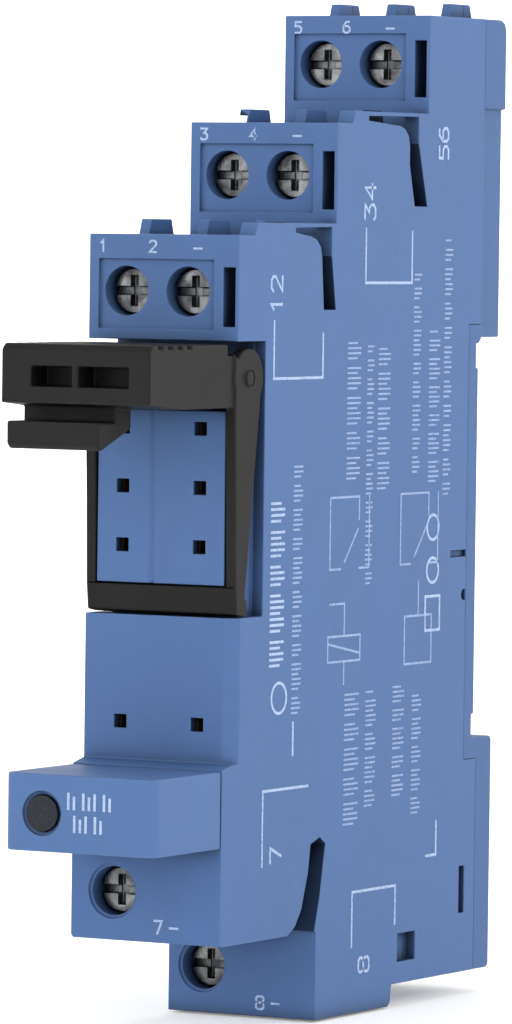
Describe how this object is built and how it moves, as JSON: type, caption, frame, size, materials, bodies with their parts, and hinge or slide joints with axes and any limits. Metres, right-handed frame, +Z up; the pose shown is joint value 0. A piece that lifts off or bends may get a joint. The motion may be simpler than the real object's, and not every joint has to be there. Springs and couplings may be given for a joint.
{
  "type": "plug in relay socket",
  "caption": "Rail-mounted socket for a plug in relay, with stepped screw terminals, a pivoting retaining and ejector clip and a plug-in indicator module.",
  "frame": {"origin": "centre of the rail seat face, on the rail's centre line, in the middle of the width", "axes": "+Y out of the back towards the rail, -Y the front that faces the user, +Z up to the contact terminals, +X the right side seen from the front"},
  "size_m": [0.0148, 0.0629, 0.0883],
  "materials": {
    "blue_moulding": "fine matt",
    "black_moulding": "fine matt",
    "module_blue": "fine matt",
    "brass_strip": "stamped",
    "spring_bronze": "stamped",
    "plated_screw": "zinc plated",
    "plated_cage": "zinc plated",
    "spring_wire": "drawn",
    "clear_lens": "polished",
    "led_resin": "polished",
    "board": "solder mask",
    "resistor_body": "lacquered",
    "diode_body": "moulded"
  },
  "bodies": {
    "base": {"housing": "blue_moulding", "rear_base": "blue_moulding", "strip_14": "brass_strip", "strip_24": "brass_strip", "strip_12": "brass_strip", "strip_22": "brass_strip", "strip_11": "brass_strip", "strip_21": "brass_strip", "strip_a1": "brass_strip", "strip_a2": "brass_strip", "fork_14": "spring_bronze", "fork_24": "spring_bronze", "fork_12": "spring_bronze", "fork_22": "spring_bronze", "fork_11": "spring_bronze", "fork_21": "spring_bronze", "fork_a1": "spring_bronze", "fork_a2": "spring_bronze", "latch_spring": "spring_wire"},
    "clip": {"retaining_clip": "black_moulding"},
    "module": {"module_case": "module_blue", "module_back": "black_moulding", "module_lens": "clear_lens", "module_led": "led_resin", "module_board": "board", "module_resistor": "resistor_body", "module_diode": "diode_body", "module_blade_l": "brass_strip", "module_blade_r": "brass_strip"},
    "latch": {"rail_latch": "black_moulding"},
    "screw_body_14": {"screw_14": "plated_screw"},
    "cage_body_14": {"cage_14": "plated_cage"},
    "screw_body_24": {"screw_24": "plated_screw"},
    "cage_body_24": {"cage_24": "plated_cage"},
    "screw_body_12": {"screw_12": "plated_screw"},
    "cage_body_12": {"cage_12": "plated_cage"},
    "screw_body_22": {"screw_22": "plated_screw"},
    "cage_body_22": {"cage_22": "plated_cage"},
    "screw_body_11": {"screw_11": "plated_screw"},
    "cage_body_11": {"cage_11": "plated_cage"},
    "screw_body_21": {"screw_21": "plated_screw"},
    "cage_body_21": {"cage_21": "plated_cage"},
    "screw_body_a1": {"screw_a1": "plated_screw"},
    "cage_body_a1": {"cage_a1": "plated_cage"},
    "screw_body_a2": {"screw_a2": "plated_screw"},
    "cage_body_a2": {"cage_a2": "plated_cage"}
  },
  "joints": [
    {"name": "clip_pivot", "type": "hinge", "parent": "base", "child": "clip", "pos_m": [0, -0.0417, 0.0151], "axis": [-1, 0, 0], "range_deg": [0, 18]},
    {"name": "module_slide", "type": "slide", "parent": "base", "child": "module", "axis": [0, -1, 0], "range_m": [0, 0.015]},
    {"name": "latch_slide", "type": "slide", "parent": "base", "child": "latch", "axis": [0, 0, -1], "range_m": [0, 0.0025], "stiffness_N_per_m": 300, "springref_m": -0.003, "deforming": ["latch_spring"]},
    {"name": "clamp_slide_14", "type": "slide", "parent": "base", "child": "cage_body_14", "axis": [0, -1, 0], "range_m": [0, 0.00195]},
    {"name": "screw_turn_14", "type": "hinge", "parent": "base", "child": "screw_body_14", "pos_m": [-0.0038, -0.0427, 0.0223], "axis": [0, 1, 0], "range_deg": [0, 1405]},
    {"name": "clamp_slide_24", "type": "slide", "parent": "base", "child": "cage_body_24", "axis": [0, -1, 0], "range_m": [0, 0.00195]},
    {"name": "screw_turn_24", "type": "hinge", "parent": "base", "child": "screw_body_24", "pos_m": [0.0022, -0.0427, 0.0223], "axis": [0, 1, 0], "range_deg": [0, 1405]},
    {"name": "clamp_slide_12", "type": "slide", "parent": "base", "child": "cage_body_12", "axis": [0, -1, 0], "range_m": [0, 0.00195]},
    {"name": "screw_turn_12", "type": "hinge", "parent": "base", "child": "screw_body_12", "pos_m": [-0.0038, -0.0257, 0.0323], "axis": [0, 1, 0], "range_deg": [0, 1405]},
    {"name": "clamp_slide_22", "type": "slide", "parent": "base", "child": "cage_body_22", "axis": [0, -1, 0], "range_m": [0, 0.00195]},
    {"name": "screw_turn_22", "type": "hinge", "parent": "base", "child": "screw_body_22", "pos_m": [0.0022, -0.0257, 0.0323], "axis": [0, 1, 0], "range_deg": [0, 1405]},
    {"name": "clamp_slide_11", "type": "slide", "parent": "base", "child": "cage_body_11", "axis": [0, -1, 0], "range_m": [0, 0.00195]},
    {"name": "screw_turn_11", "type": "hinge", "parent": "base", "child": "screw_body_11", "pos_m": [-0.0038, -0.0091, 0.0423], "axis": [0, 1, 0], "range_deg": [0, 1405]},
    {"name": "clamp_slide_21", "type": "slide", "parent": "base", "child": "cage_body_21", "axis": [0, -1, 0], "range_m": [0, 0.00195]},
    {"name": "screw_turn_21", "type": "hinge", "parent": "base", "child": "screw_body_21", "pos_m": [0.0022, -0.0091, 0.0423], "axis": [0, 1, 0], "range_deg": [0, 1405]},
    {"name": "clamp_slide_a1", "type": "slide", "parent": "base", "child": "cage_body_a1", "axis": [0, -1, 0], "range_m": [0, 0.00195]},
    {"name": "screw_turn_a1", "type": "hinge", "parent": "base", "child": "screw_body_a1", "pos_m": [-0.00325, -0.0445, -0.0285], "axis": [0, 1, 0], "range_deg": [0, 1405]},
    {"name": "clamp_slide_a2", "type": "slide", "parent": "base", "child": "cage_body_a2", "axis": [0, -1, 0], "range_m": [0, 0.00195]},
    {"name": "screw_turn_a2", "type": "hinge", "parent": "base", "child": "screw_body_a2", "pos_m": [-0.00395, -0.0278, -0.0363], "axis": [0, 1, 0], "range_deg": [0, 1405]}
  ],
  "couplings": [
    {"joint": "screw_turn_14", "follows": "clamp_slide_14", "rad_per_m": 12566},
    {"joint": "screw_turn_24", "follows": "clamp_slide_24", "rad_per_m": 12566},
    {"joint": "screw_turn_12", "follows": "clamp_slide_12", "rad_per_m": 12566},
    {"joint": "screw_turn_22", "follows": "clamp_slide_22", "rad_per_m": 12566},
    {"joint": "screw_turn_11", "follows": "clamp_slide_11", "rad_per_m": 12566},
    {"joint": "screw_turn_21", "follows": "clamp_slide_21", "rad_per_m": 12566},
    {"joint": "screw_turn_a1", "follows": "clamp_slide_a1", "rad_per_m": 12566},
    {"joint": "screw_turn_a2", "follows": "clamp_slide_a2", "rad_per_m": 12566}
  ]
}
